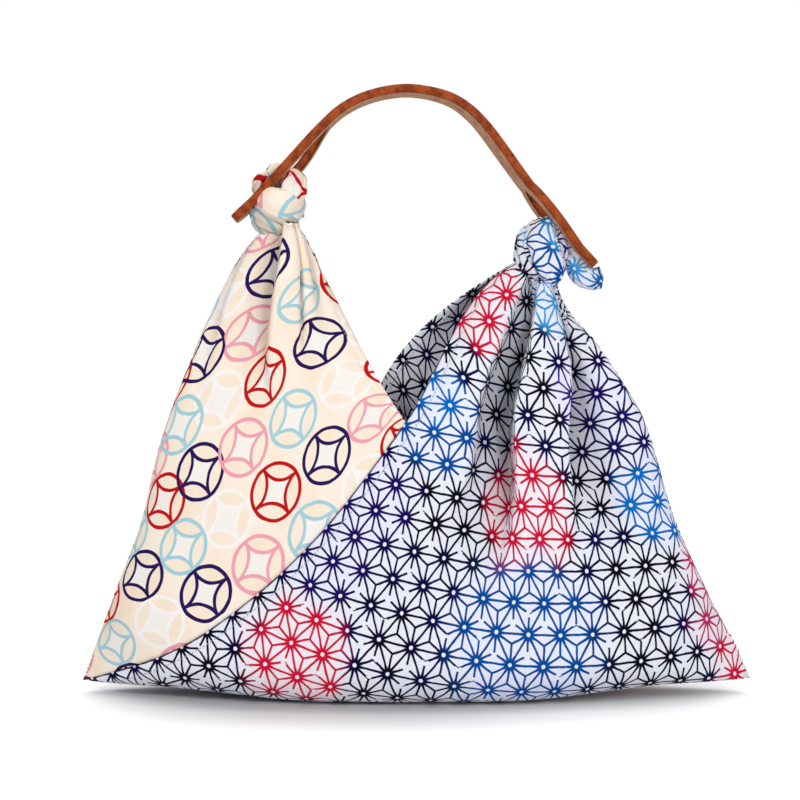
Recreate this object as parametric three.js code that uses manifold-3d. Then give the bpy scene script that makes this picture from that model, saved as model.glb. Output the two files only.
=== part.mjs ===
// An azuma bag: a Japanese cloth bag folded and sewn from one long strip of three squares, in two cottons.
// The first square is the shippo panel, with circles. The other two are the asanoha panel, with hemp leaf stars.
// Sewn up, the strip is a pouch with two horns. Each horn passes through a slit in the end of a leather strap and
// is knotted there, so the strap becomes the handle. The pouch stands open on a flat, lens-shaped base.
//
// Millimetres, +Z up, the front towards -Y, the origin on the ground under the middle of the bag.

import * as THREE from "three";
import { mergeVertices } from "three/addons/utils/BufferGeometryUtils.js";
import Module from "manifold-3d";

const wasm = await Module();
wasm.setup();

// ---- Driving dimensions ----------------------------------------------------------------------------------------

const CLOTH_WIDTH = 268; // the strip's width, so the strip is 268 by 804
const CLOTH_THICK = 1.4; // both cottons, with their hems
const FAN = 44; // facets round one horn, from its front hem to its back hem
const ROWS = 12; // facets down one horn, from its neck to the far edges of its square
const SEAM_GAP = 1; // between the two panels along their seams
const PIECE_GAP = 0.4; // between the cloth and the leather

const BASE_HALF = 180; // half the width of the bag at its base
// The base's two ends stand off the ground: how far, the corners' own extra, where the rise starts and ends as shares
// of the base's half width, and over what height it fades out.
const ENDS_LIFT = { left: 6, right: 7.5, corner: 2.5, from: 0.25, to: 0.78, fade: [8, 110] };
const CORNER_TRIM = 8; // the shippo panel stops this far short of the left corner, inside the seam
const DEPTH = { front: 50, back: 34 }; // how far the pouch bulges either way from its middle plane
const BASE_SHARE = 0.5; // the part of that depth that lies flat on the ground
const BULGE_LEAN = 0.1; // how much the walls lean in above the bulge
const BACK_PULL = { x: -14, z: 4 }; // the back of the mouth hangs this far off the middle, to the left and up

// Each horn: which side it is on, the lean of the side line below it, and its neck under the knot. The knot takes up
// sideTail of the cloth at the side line and hemTail at the hems. The flares are how far the cloth springs out
// sideways as it leaves the neck, at the side line and at the hems.
const HORNS = {
  left: {
    side: -1, lean: 0.335, neck: new THREE.Vector3(-69, 0, 251), neckRadius: 10,
    sideTail: 112, hemTail: 138, sideFlare: 0.7, hemFlare: 0.6,
  },
  right: {
    side: 1, lean: 0.395, neck: new THREE.Vector3(68.5, 0, 221), neckRadius: 8,
    sideTail: 132, hemTail: 160, sideFlare: 0.5, hemFlare: 1.8,
  },
};

// The horns are pulled together, so the cloth between them has slack, and it goes into folds that fan out from the
// necks. Each row is a ridge or a valley: at is its angle at the horn's tip from the side line, in degrees, negative
// on the front and positive on the back. steep is the slope's share of the steepest one between it and the row
// before. reach is how far down from the tip that slope goes. The back takes up whatever slack is left.
const CREASES = {
  left: [
    { at: -45, valley: true, steep: 0, reach: 0 },
    { at: -36, valley: false, steep: 0.35, reach: 215 },
    { at: -31, valley: true, steep: 0.35, reach: 200 },
    { at: -27, valley: false, steep: 0.6, reach: 215 },
    { at: -21.5, valley: true, steep: 0.95, reach: 230 },
    { at: -13, valley: false, steep: 0.45, reach: 220 },
    { at: -7, valley: true, steep: 0.45, reach: 210 },
    { at: 2, valley: false, steep: 0.5, reach: 230 },
    { at: 9, valley: true, steep: 1, reach: 290 },
    { at: 18, valley: false, steep: 1, reach: 350 },
    { at: 26, valley: true, steep: 1, reach: 370 },
    { at: 35, valley: false, steep: 1, reach: 360 },
    { at: 45, valley: true, steep: 1, reach: 340 },
  ],
  right: [
    { at: -45, valley: true, steep: 0, reach: 0 },
    { at: -37, valley: false, steep: 0.6, reach: 300 },
    { at: -29, valley: true, steep: 0.8, reach: 320 },
    { at: -21, valley: false, steep: 1, reach: 320 },
    { at: -12, valley: true, steep: 1, reach: 300 },
    { at: -4, valley: false, steep: 0.6, reach: 290 },
    { at: 5, valley: true, steep: 0.6, reach: 290 },
    { at: 15, valley: false, steep: 1, reach: 320 },
    { at: 24, valley: true, steep: 1, reach: 310 },
    { at: 34, valley: false, steep: 1, reach: 300 },
    { at: 45, valley: true, steep: 1, reach: 290 },
  ],
};
const STEEPEST = 62; // degrees, of a fold's side out of the cloth's plane
const BACK_FROM = 6; // degrees, where the back's share of the slack starts
const FRONT_MOST = 1.22; // the front's cloth reaches round the side by no more than this share
const FOLD_FADE = 90; // each fold dies out over this much of its reach
const FOLD_ROOM = { neck: 0.35, deepest: 11 }; // the folds' height at the neck, by its radius, and anywhere else

// The leather strap, flesh side in. Its route is in the middle plane of the bag, from tip to tip.
const STRAP = { width: 18, thick: 4, chamfer: 0.7, steps: 72 };
const STRAP_ROUTE = [
  [-96.5, 256], [-88, 263.5], [-80, 271], [-68, 282.5], [-59.5, 292], [-51.5, 302], [-42, 312], [-31.5, 318.5],
  [-20.5, 322.5], [-3, 325], [16, 321.5], [25, 317], [35, 308], [46, 293.5], [56.5, 279], [67, 265.5], [78, 252],
  [88.5, 240], [97, 231.5],
];
// Each slit, as shares of the strap's length, and how far the knotted cloth spreads its two halves: apart, along Y,
// and out of the strap's own curve. The front half passes in front of the knot, and the back half is hidden behind it.
const SLITS = [
  { from: 0.06, to: 0.24, apart: 6, frontShift: 1, backShift: -5.5 },
  { from: 0.77, to: 0.95, apart: 6, frontShift: 1, backShift: -4.5 },
];
const TIP_TAPER = { length: 0.03, share: 0.45 }; // the strap's ends narrow to a blunt point

const COLOURS = { shippo: 0xf6e6d2, asanoha: 0xdcdcec, leather: 0x9a4a1e };

const DIAGONAL = CLOTH_WIDTH * Math.SQRT2; // the base line, and each side line from corner to horn tip
const DEGREE = Math.PI / 180;

// ---- The shape in which the sewn strip hangs ----------------------------------------------------------------------

const smooth = (from, to, value) => THREE.MathUtils.smoothstep(value, from, to);

// A point of the pouch below the horns. across runs along the base line from the left corner, up is the cloth's own
// distance from that line, and both are measured on the flat folded bag. face is -1 on the front and 1 on the back.
// The pouch is pointed at the ends of its base and rounded at its sides above that.
function pouchPoint(across, up, face) {
  const off = (2 * across) / DIAGONAL - 1;
  const rounded = THREE.MathUtils.lerp(0.85, 0.52, smooth(0, 70, up));
  const half = (face < 0 ? DEPTH.front : DEPTH.back) * Math.pow(Math.max(0, 1 - off * off), rounded);
  const flat = BASE_SHARE * half;
  const radius = half - flat;
  const turn = radius * (Math.PI / 2);
  let depth = up;
  let height = 0;
  if (up > flat + turn) {
    const rest = up - flat - turn;
    depth = half - rest * BULGE_LEAN * (half / DEPTH.front);
    height = radius + rest;
  } else if (up > flat) {
    const angle = (up - flat) / radius;
    depth = flat + radius * Math.sin(angle);
    height = radius * (1 - Math.cos(angle));
  }
  const leftX = -BASE_HALF + HORNS.left.lean * height;
  const rightX = BASE_HALF - HORNS.right.lean * height;
  const pull = face > 0 ? Math.pow(up / (DIAGONAL / 2), 2) * (1 - off * off) : 0;
  const end = smooth(ENDS_LIFT.from, ENDS_LIFT.to, Math.abs(off)) * (off < 0 ? ENDS_LIFT.left : ENDS_LIFT.right);
  const lift = (end + ENDS_LIFT.corner * Math.pow(Math.abs(off), 10)) * (1 - smooth(...ENDS_LIFT.fade, height));
  return new THREE.Vector3(
    THREE.MathUtils.lerp(leftX, rightX, across / DIAGONAL) + BACK_PULL.x * pull,
    face * depth,
    CLOTH_THICK / 2 + height * (1 - 0.06 * off * off) + BACK_PULL.z * pull + lift,
  );
}

// The same for a point given from a horn's tip: its distance, and its angle from the side line.
function pouchPointFromTip(horn, distance, angle) {
  const sideways = distance * Math.sin(Math.abs(angle));
  const across = horn.side < 0 ? sideways : DIAGONAL - sideways;
  const up = Math.max(0, DIAGONAL - distance * Math.cos(angle));
  return pouchPoint(THREE.MathUtils.clamp(across, 0, DIAGONAL), up, angle < 0 ? -1 : 1);
}

// 0 at a horn's side line and 1 at its hems.
const hemShare = (angle) => Math.pow(Math.abs(angle) / (Math.PI / 4), 2);
const tailAt = (horn, angle) => THREE.MathUtils.lerp(horn.sideTail, horn.hemTail, hemShare(angle));

// A point of a horn, on a curve from the belt, level with the bottom of the mouth, to the ring at the neck.
function hornPoint(horn, distance, angle) {
  const beltDistance = DIAGONAL / 2 / Math.cos(angle);
  const span = beltDistance - tailAt(horn, angle);
  const step = 1;
  const belt = pouchPointFromTip(horn, beltDistance, angle);
  const beltSlope = belt.clone().sub(pouchPointFromTip(horn, beltDistance + step, angle)).multiplyScalar(span / step);
  const round = 3.8 * angle;
  const outward = new THREE.Vector3(horn.side * Math.cos(round), Math.sin(round), 0);
  const ring = horn.neck.clone().addScaledVector(outward, horn.neckRadius);
  const flare = THREE.MathUtils.lerp(horn.sideFlare, horn.hemFlare, hemShare(angle));
  const neckSlope = new THREE.Vector3(0, 0, 1).addScaledVector(outward, -flare).setLength(span);
  const t = (beltDistance - distance) / span;
  if (t > 1) return ring.addScaledVector(new THREE.Vector3(0, 0, 1), (t - 1) * span * 0.35);
  const t2 = t * t;
  const t3 = t2 * t;
  return belt
    .multiplyScalar(2 * t3 - 3 * t2 + 1)
    .addScaledVector(beltSlope, t3 - 2 * t2 + t)
    .addScaledVector(ring, 3 * t2 - 2 * t3)
    .addScaledVector(neckSlope, t3 - t2);
}

// Where a point of the flat strip lies. along is 0 to 3 widths and over is 0 to 1 width. The left horn's tip is the
// strip's corner (0, width), and the right one's is (3 widths, 0): each tip's fan holds half of the strip.
function fanOf(along, over) {
  const leftFan = along <= CLOTH_WIDTH || along - CLOTH_WIDTH < over;
  const name = leftFan ? "left" : "right";
  const run = leftFan ? along : 3 * CLOTH_WIDTH - along;
  const rise = leftFan ? CLOTH_WIDTH - over : over;
  return {
    name,
    horn: HORNS[name],
    distance: Math.hypot(run, rise),
    angle: (leftFan ? Math.atan2(run, rise) : Math.atan2(rise, run)) - Math.PI / 4,
  };
}

// A point of the cloth as it would hang without folds.
function smoothPoint(name, distance, angle) {
  const horn = HORNS[name];
  const inHorn = distance * Math.cos(angle) < DIAGONAL / 2;
  return inHorn ? hornPoint(horn, distance, angle) : pouchPointFromTip(horn, distance, angle);
}

function outwardNormal(name, distance, angle, [first, last]) {
  const step = 0.004;
  const a0 = Math.max(first, angle - step);
  const a1 = Math.min(last, angle + step);
  const round = smoothPoint(name, distance, a1).sub(smoothPoint(name, distance, a0));
  const down = smoothPoint(name, distance + 0.5, angle).sub(smoothPoint(name, distance - 0.5, angle));
  return round.cross(down).multiplyScalar(name === "left" ? 1 : -1).normalize();
}

// The angles that the cloth spans at a distance from the tip. Past one width the arc leaves the horn's own square:
// the shippo square ends at its front seam, and the last asanoha square at its back seam.
function arcSpan(name, distance) {
  const whole = Math.PI / 4;
  if (distance <= CLOTH_WIDTH) return [-whole, whole];
  const short = whole - Math.acos(Math.min(1, CLOTH_WIDTH / distance));
  if (name === "left") return [-short, whole];
  return [-whole, short];
}

// The slope of the cloth's side at an angle, in radians, for folds of a given strength.
function slopeAt(name, distance, angle, strength) {
  const rows = CREASES[name];
  const degrees = angle / DEGREE;
  const index = rows.findIndex((row, i) => i > 0 && degrees <= row.at + 1e-9);
  if (index < 1) return 0;
  const [from, to] = [rows[index - 1], rows[index]];
  const way = to.valley ? -1 : 1;
  const wave = Math.sin((Math.PI * (degrees - from.at)) / (to.at - from.at));
  const fade = 1 - smooth(to.reach - FOLD_FADE, to.reach, distance);
  const held = to.at > BACK_FROM ? strength : 1;
  return way * wave * to.steep * held * fade * STEEPEST * DEGREE;
}

// One arc of the cloth round a tip, as a table from the cloth's own angle to its place. The folds use up the slack,
// those on the back as much as is needed, so the cloth on the front keeps its width.
const arcs = new Map();
function arcAt(name, distance) {
  const key = name + distance.toFixed(3);
  if (arcs.has(key)) return arcs.get(key);
  const span = arcSpan(name, distance);
  const count = 160;
  const angles = Array.from({ length: count + 1 }, (_, i) => THREE.MathUtils.lerp(span[0], span[1], i / count));
  const places = angles.map((angle) => smoothPoint(name, distance, angle));
  const run = [0];
  for (let i = 1; i <= count; i++) run.push(run[i - 1] + places[i].distanceTo(places[i - 1]));
  const room = run[count];
  const step = (distance * (span[1] - span[0])) / count;
  const middle = (i) => (angles[i] + angles[i - 1]) / 2;
  const lay = (strength) => {
    const table = [0];
    for (let i = 1; i <= count; i++) {
      table.push(table[i - 1] + step * Math.cos(slopeAt(name, distance, middle(i), strength)));
    }
    return table;
  };
  let [weak, strong] = [0, 1.4];
  for (let turn = 0; turn < 18; turn++) {
    const strength = (weak + strong) / 2;
    if (lay(strength)[count] > room) weak = strength;
    else strong = strength;
  }
  // What the folds can't use up is drawn in evenly: first behind the side, and near the neck on the front as well.
  const drawn = lay(strong);
  const sideIndex = Math.max(1, angles.findIndex((angle) => angle > BACK_FROM * DEGREE));
  const front = Math.min(drawn[sideIndex], run[sideIndex] * FRONT_MOST);
  const laid = drawn.map((value, i) => {
    if (i <= sideIndex) return (value * front) / drawn[sideIndex];
    return front + ((value - drawn[sideIndex]) * (room - front)) / (drawn[count] - drawn[sideIndex]);
  });
  const height = [0];
  for (let i = 1; i <= count; i++) {
    height.push(height[i - 1] + step * Math.sin(slopeAt(name, distance, middle(i), strong)));
  }
  // The valleys are level with each other, and the ends of the arc lie on the unfolded cloth.
  const stops = CREASES[name].filter((row) => row.valley).map((row) => row.at * DEGREE);
  const knots = [span[0], ...stops.filter((at) => at > span[0] + 0.02 && at < span[1] - 0.02), span[1]];
  const heightAt = (angle) => {
    const t = ((angle - span[0]) / (span[1] - span[0])) * count;
    const i = THREE.MathUtils.clamp(Math.floor(t), 0, count - 1);
    return THREE.MathUtils.lerp(height[i], height[i + 1], t - i);
  };
  const levelled = angles.map((angle, i) => {
    const j = THREE.MathUtils.clamp(knots.findIndex((at) => at >= angle - 1e-9), 1, knots.length - 1);
    const t = (angle - knots[j - 1]) / (knots[j] - knots[j - 1]);
    return height[i] - THREE.MathUtils.lerp(heightAt(knots[j - 1]), heightAt(knots[j]), t);
  });
  const reachSteps = Math.round((0.2 * count) / (span[1] - span[0]));
  const centred = levelled.map((value, i) => {
    const near = levelled.slice(Math.max(0, i - reachSteps), i + reachSteps + 1);
    return value - near.reduce((sum, other) => sum + other, 0) / near.length;
  });
  const neckRadius = HORNS[name].neckRadius;
  const tail = HORNS[name].sideTail;
  const most = THREE.MathUtils.lerp(neckRadius * FOLD_ROOM.neck, FOLD_ROOM.deepest, smooth(tail, tail + 55, distance));
  const range = Math.max(...centred) - Math.min(...centred);
  const limit = range > most ? most / range : 1;
  const arc = angles.map((angle, i) => {
    const up = DIAGONAL - distance * Math.cos(angle);
    const folded = smooth(15, 100, up) * (1 - smooth(CLOTH_WIDTH - 30, DIAGONAL, distance));
    const edge = Math.min(smooth(0, 0.1, angle - span[0]), smooth(0, 0.1, span[1] - angle));
    const along = THREE.MathUtils.lerp(run[i], laid[i], folded);
    let j = run.findIndex((value) => value >= along);
    if (j < 1) j = along <= 0 ? 1 : count;
    const t = (along - run[j - 1]) / Math.max(1e-9, run[j] - run[j - 1]);
    const onSmooth = THREE.MathUtils.lerp(angles[j - 1], angles[j], THREE.MathUtils.clamp(t, 0, 1));
    const rise = centred[i] * limit * folded * edge;
    return smoothPoint(name, distance, onSmooth).addScaledVector(outwardNormal(name, distance, onSmooth, span), rise);
  });
  const found = { span, count, arc };
  arcs.set(key, found);
  return found;
}

function clothPoint(along, over) {
  const { name, distance, angle } = fanOf(along, over);
  const { span, count, arc } = arcAt(name, distance);
  const t = THREE.MathUtils.clamp((angle - span[0]) / (span[1] - span[0]), 0, 1) * count;
  const i = Math.min(count - 1, Math.floor(t));
  return arc[i].clone().lerp(arc[i + 1], t - i);
}

// ---- Solids -------------------------------------------------------------------------------------------------------

function solidFrom(positions, triangles) {
  const geometry = new THREE.BufferGeometry();
  geometry.setAttribute("position", new THREE.Float32BufferAttribute(positions, 3));
  geometry.setIndex(triangles);
  return solidOf(geometry);
}

function solidOf(geometry) {
  const bare = geometry.clone();
  bare.deleteAttribute("normal");
  bare.deleteAttribute("uv");
  const merged = mergeVertices(bare, 1e-3);
  return new wasm.Manifold(
    new wasm.Mesh({
      numProp: 3,
      vertProperties: new Float32Array(merged.attributes.position.array),
      triVerts: new Uint32Array(merged.index.array),
    }),
  );
}

// The corners of one square's facets on the flat strip. The first and last squares are laid out in arcs and rays
// from their tips, from the neck outwards, and the middle one in a grid that meets both.
function squareFacets(square) {
  const facets = [];
  const shares = Array.from({ length: FAN / 2 + 1 }, (_, i) => (2 * i) / FAN);
  if (square === 1) {
    for (let i = 0; i < FAN / 2; i++) {
      for (let j = 0; j < FAN / 2; j++) {
        const corner = (x, y) => [CLOTH_WIDTH * (1 + shares[x]), CLOTH_WIDTH * shares[y]];
        facets.push([corner(i, j), corner(i + 1, j), corner(i + 1, j + 1), corner(i, j + 1)]);
      }
    }
    return facets;
  }
  const name = square === 0 ? "left" : "right";
  const corner = (ray, row) => {
    const share = 1 - Math.abs((2 * ray) / FAN - 1);
    const angle = Math.sign(ray - FAN / 2) * (Math.PI / 4 - Math.atan(share));
    const near = tailAt(HORNS[name], angle) - 6;
    const far = CLOTH_WIDTH / Math.cos(Math.PI / 4 - Math.abs(angle));
    const distance = THREE.MathUtils.lerp(near, far, Math.pow(row / ROWS, 1.15));
    const [run, rise] = [distance * Math.sin(Math.PI / 4 + angle), distance * Math.cos(Math.PI / 4 + angle)];
    if (name === "left") return [run, CLOTH_WIDTH - rise];
    return [3 * CLOTH_WIDTH - rise, run];
  };
  for (let ray = 0; ray < FAN; ray++) {
    for (let row = 0; row < ROWS; row++) {
      const made = [corner(ray, row), corner(ray + 1, row), corner(ray + 1, row + 1), corner(ray, row + 1)];
      facets.push(name === "left" ? made.reverse() : made);
    }
  }
  return facets;
}

// A panel of the strip as a closed sheet: its facets, moved half the thickness out and in, with a rim all round.
// Points of the panel that are sewn to each other share a place, so they are merged and the sheet closes there.
function sheetSolid(squares, trim) {
  const places = new Map();
  const middles = [];
  const normals = [];
  const vertexAt = ([along, over]) => {
    const place = clothPoint(Math.min(along, trim.along), Math.max(over, trim.over));
    const key = place.toArray().map((value) => Math.round(value * 20)).join(",");
    if (!places.has(key)) {
      places.set(key, middles.length);
      middles.push(place);
      normals.push(new THREE.Vector3());
    }
    return places.get(key);
  };
  const facets = [];
  for (const square of squares) {
    for (const corners of squareFacets(square)) {
      const [p, q, r, s] = corners.map(vertexAt);
      for (const facet of [[p, r, q], [p, s, r]]) if (new Set(facet).size === 3) facets.push(facet);
    }
  }
  for (const facet of facets) {
    const [p, q, r] = facet.map((index) => middles[index]);
    const normal = q.clone().sub(p).cross(r.clone().sub(p));
    for (const index of facet) normals[index].add(normal);
  }
  const count = middles.length;
  const positions = [];
  for (const way of [0.5, -0.5]) {
    middles.forEach((place, index) => {
      const moved = place.clone().addScaledVector(normals[index].clone().normalize(), way * CLOTH_THICK);
      positions.push(...moved.toArray());
    });
  }
  const triangles = [];
  const borders = new Map();
  for (const [p, q, r] of facets) {
    triangles.push(p, q, r, p + count, r + count, q + count);
    for (const [from, to] of [[p, q], [q, r], [r, p]]) {
      const back = to + "," + from;
      if (borders.has(back)) borders.delete(back);
      else borders.set(from + "," + to, [from, to]);
    }
  }
  for (const [from, to] of borders.values()) {
    triangles.push(from, from + count, to, to, from + count, to + count);
  }
  return solidFrom(positions, triangles);
}

// ---- The strap ----------------------------------------------------------------------------------------------------

const strapCurve = new THREE.CatmullRomCurve3(STRAP_ROUTE.map(([x, z]) => new THREE.Vector3(x, 0, z)));

// One lengthwise half of the strap, grown by extra all round: a chamfered bar swept along the route. Outside the
// slits the halves run past the middle, so that they join.
function strapHalf(face, extra) {
  const thick = STRAP.thick / 2 + extra;
  const cut = STRAP.chamfer;
  const positions = [];
  const rings = STRAP.steps + 1;
  for (let i = 0; i < rings; i++) {
    const share = i / STRAP.steps;
    const place = strapCurve.getPointAt(share);
    const tangent = strapCurve.getTangentAt(share);
    const out = new THREE.Vector3(-tangent.z, 0, tangent.x);
    let apart = -0.4;
    let shift = 0;
    for (const slit of SLITS) {
      if (share <= slit.from || share >= slit.to) continue;
      const spread = Math.pow(Math.sin((Math.PI * (share - slit.from)) / (slit.to - slit.from)), 0.7);
      apart = Math.max(0.1, slit.apart * spread);
      shift = (face < 0 ? slit.frontShift : slit.backShift) * spread;
    }
    const tip = Math.min(1, Math.min(share, 1 - share) / TIP_TAPER.length);
    const narrow = THREE.MathUtils.lerp(TIP_TAPER.share, 1, Math.sqrt(tip * (2 - tip)));
    const end = i === 0 ? -extra : i === rings - 1 ? extra : 0;
    const centre = place.clone().addScaledVector(out, shift).addScaledVector(tangent, end);
    const inner = apart - extra;
    const outer = Math.max(0, apart) * 0.9 + (STRAP.width / 2) * narrow + extra;
    const section = [
      [inner, -thick], [outer - cut, -thick], [outer, -thick + cut], [outer, thick - cut],
      [outer - cut, thick], [inner, thick],
    ];
    for (const [y, n] of section) {
      const point = centre.clone().addScaledVector(out, n);
      positions.push(point.x, face * y, point.z);
    }
  }
  const size = 6;
  const triangles = [];
  const add = (a, b, c) => triangles.push(...(face < 0 ? [a, c, b] : [a, b, c]));
  for (let i = 0; i < rings - 1; i++) {
    for (let j = 0; j < size; j++) {
      const next = (j + 1) % size;
      const [a, b] = [i * size + j, i * size + next];
      add(a, a + size, b);
      add(b, a + size, b + size);
    }
  }
  const last = (rings - 1) * size;
  for (let j = 1; j < size - 1; j++) {
    add(0, j, j + 1);
    add(last, last + j + 1, last + j);
  }
  const solid = solidFrom(positions, triangles);
  if (solid.volume() > 0) return solid;
  for (let i = 0; i < triangles.length; i += 3) {
    [triangles[i + 1], triangles[i + 2]] = [triangles[i + 2], triangles[i + 1]];
  }
  return solidFrom(positions, triangles);
}

const strapSolid = (extra) => strapHalf(-1, extra).add(strapHalf(1, extra));

// ---- The knots ----------------------------------------------------------------------------------------------------

// A stretch of gathered cloth: an oval section swept along points given from the horn's neck. wide and thick are
// its two diameters, wide along the curve's own binormal.
function lobe(neck, points, wide, thick, steps) {
  const curve = new THREE.CatmullRomCurve3(points.map(([x, y, z]) => new THREE.Vector3(x, y, z).add(neck)));
  const section = new THREE.Shape();
  const sides = 8;
  for (let i = 0; i < sides; i++) {
    const angle = (2 * Math.PI * i) / sides;
    const [x, y] = [(wide / 2) * Math.cos(angle), (thick / 2) * Math.sin(angle)];
    if (i === 0) section.moveTo(x, y);
    else section.lineTo(x, y);
  }
  return solidOf(new THREE.ExtrudeGeometry(section, { steps, extrudePath: curve, bevelEnabled: false }));
}

// Each knot: the horn rises from its neck through the slit, turns over the back half of the strap, comes down behind
// it and wraps round the neck. The right one ends in a rolled tail.
const KNOTS = {
  left: [
    {
      points: [[0, 0, -7], [1, -2, 6], [2, -4, 15], [-3, -1, 22], [-9, 3, 25], [-12, 9, 24], [-12, 14, 18], [-6, 14, 10]],
      wide: 15, thick: 12, steps: 14,
    },
    {
      points: [[8, 6, 10], [11, -4, 11], [6, -13, 10], [-4, -14, 12], [-12, -7, 15], [-12, 4, 15], [-6, 13, 12], [5, 13, 9]],
      wide: 15, thick: 8, steps: 16,
    },
    { points: [[-5, -5, 15], [0, -9, 23], [6, -8, 23], [9, -3, 15]], wide: 13, thick: 9, steps: 7 },
    { points: [[-13, 4, 13], [-13, -6, 8], [-8, -9, 2], [-1, -8, -2]], wide: 13, thick: 8, steps: 7 },
  ],
  right: [
    {
      points: [[0, 0, -7], [-2, -3, 5], [-5, -6, 16], [-3, -4, 27], [4, 0, 32], [12, 6, 31], [14, 13, 25], [11, 15, 16]],
      wide: 16, thick: 12, steps: 14,
    },
    {
      points: [[9, 5, 18], [7, -7, 17], [-2, -13, 16], [-11, -6, 14], [-8, 6, 11], [2, 11, 10], [9, 7, 15]],
      wide: 18, thick: 9, steps: 16,
    },
    { points: [[6, -8, 16], [5, -11, 9], [0, -9, 3]], wide: 11, thick: 8, steps: 6 },
    { points: [[8, 12, 22], [14, 11, 14], [19, 9, 8], [26, 8, 5], [32, 7, 3.5]], wide: 12, thick: 10, steps: 9 },
  ],
};

function knotSolid(name) {
  const made = KNOTS[name].map(({ points, wide, thick, steps }) => lobe(HORNS[name].neck, points, wide, thick, steps));
  return made.reduce((whole, piece) => whole.add(piece));
}

// ---- The bag ------------------------------------------------------------------------------------------------------

function meshFrom(name, solid, colour, roughness) {
  const made = solid.getMesh();
  const geometry = new THREE.BufferGeometry();
  geometry.setAttribute("position", new THREE.BufferAttribute(new Float32Array(made.vertProperties), 3));
  geometry.setIndex(new THREE.BufferAttribute(new Uint32Array(made.triVerts), 1));
  const material = new THREE.MeshStandardMaterial({ color: colour, roughness, metalness: 0 });
  const mesh = new THREE.Mesh(geometry, material);
  mesh.name = name;
  return mesh;
}

const strapRoom = strapSolid(PIECE_GAP);
// The asanoha panel alone makes the last few millimetres of the left corner.
const cornerRoom = wasm.Manifold.cube([40, 60, 40], true).translate([-BASE_HALF - 20 + CORNER_TRIM, 0, 0]);
const shippoSheet = sheetSolid([0], { along: CLOTH_WIDTH - SEAM_GAP, over: SEAM_GAP });
const asanohaSheet = sheetSolid([1, 2], { along: Infinity, over: 0 });
const shippoSolid = shippoSheet.subtract(cornerRoom).add(knotSolid("left")).subtract(strapRoom);
const asanohaSolid = asanohaSheet.add(knotSolid("right")).subtract(strapRoom);

// The bag is moved so that the origin is under the middle of its bounding box.
const solids = [shippoSolid, asanohaSolid, strapSolid(0)];
const bounds = solids.map((solid) => solid.boundingBox());
const middle = (axis) => {
  return (Math.min(...bounds.map(({ min }) => min[axis])) + Math.max(...bounds.map(({ max }) => max[axis]))) / 2;
};
const [shippo, asanoha, strap] = solids.map((solid) => solid.translate([-middle(0), -middle(1), 0]));

const bag = new THREE.Group();
bag.add(
  meshFrom("shippo_panel", shippo, COLOURS.shippo, 0.9),
  meshFrom("asanoha_panel", asanoha, COLOURS.asanoha, 0.9),
  meshFrom("leather_strap", strap, COLOURS.leather, 0.55),
);

export default bag;
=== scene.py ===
"""An azuma bag: one long strip of cloth, in a shippo print and an asanoha print, folded and sewn into a pouch with two
horns. Each horn is knotted through a slit in the end of a leather strap.

Lengths are in millimetres until a mesh is made. The cloth's own coordinates are along (0 to 3 widths of the strip) and
over (0 to 1 width), and they are the UV map of every piece of cloth, so the prints follow the cloth.
"""

import math

import bmesh
import bpy
import numpy as np
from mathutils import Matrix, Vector, noise


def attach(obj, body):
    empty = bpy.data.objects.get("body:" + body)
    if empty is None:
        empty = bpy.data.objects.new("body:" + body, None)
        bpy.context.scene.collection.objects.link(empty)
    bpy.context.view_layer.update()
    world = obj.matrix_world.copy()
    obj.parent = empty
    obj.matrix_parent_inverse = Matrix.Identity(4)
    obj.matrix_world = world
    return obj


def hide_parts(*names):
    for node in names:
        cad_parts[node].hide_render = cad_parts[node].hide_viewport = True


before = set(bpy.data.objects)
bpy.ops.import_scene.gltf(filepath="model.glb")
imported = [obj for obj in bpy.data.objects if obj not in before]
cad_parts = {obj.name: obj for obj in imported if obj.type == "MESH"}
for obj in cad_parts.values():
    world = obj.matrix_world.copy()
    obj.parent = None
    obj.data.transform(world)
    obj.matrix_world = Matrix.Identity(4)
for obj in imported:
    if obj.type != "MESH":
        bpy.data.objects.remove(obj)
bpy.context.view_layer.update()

# ---- Driving dimensions

WIDTH = 268.0  # of the strip of cloth
CLOTH_THICK = 0.7
DIAGONAL = WIDTH * math.sqrt(2)
SHIFT = np.array([-0.27, 7.85, 0.0])  # from the bag's own middle plane to the frame
SHEET_LIFT = 0.7  # the middle of the cloth above the ground

BASE_HALF = 180.0
# How far the ends lift off the ground: on the left, on the right and in the very corners, from where to where along
# each half of the base that comes in, and over which heights it fades.
ENDS_LIFT = dict(left=5.6, right=6.8, corner=0.4, start=0.25, end=0.78, fade=(8.0, 110.0))
RIGHT_TOE = dict(out=3.0, fade=(12.0, 50.0))  # how much farther out the right corner is, and where that fades
DEPTH = {"front": 50.0, "back": 34.0}  # how far the walls stand out halfway along
OUTLINE = dict(ground=0.85, high=0.42, by=70.0)  # from above: 0.5 is an ellipse and 1 has sharp ends
BASE_SHARE = 0.5  # how much of the depth is flat on the ground
BULGE_LEAN = 0.19  # how far the walls lean in as they rise
END_DROP = 0.06  # the share of its height that the cloth loses at the side lines
BACK_PULL = (-14.0, 4.0)  # how far the lowest point of the back hem is pulled along and up
# How far the side lines stand out: how much, at what height, and how far below and above that they are straight again.
SIDE_BULGE = {"left": (5.2, 150.0, 62.0, 80.0), "right": (5.4, 160.0, 68.0, 42.0)}

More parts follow.
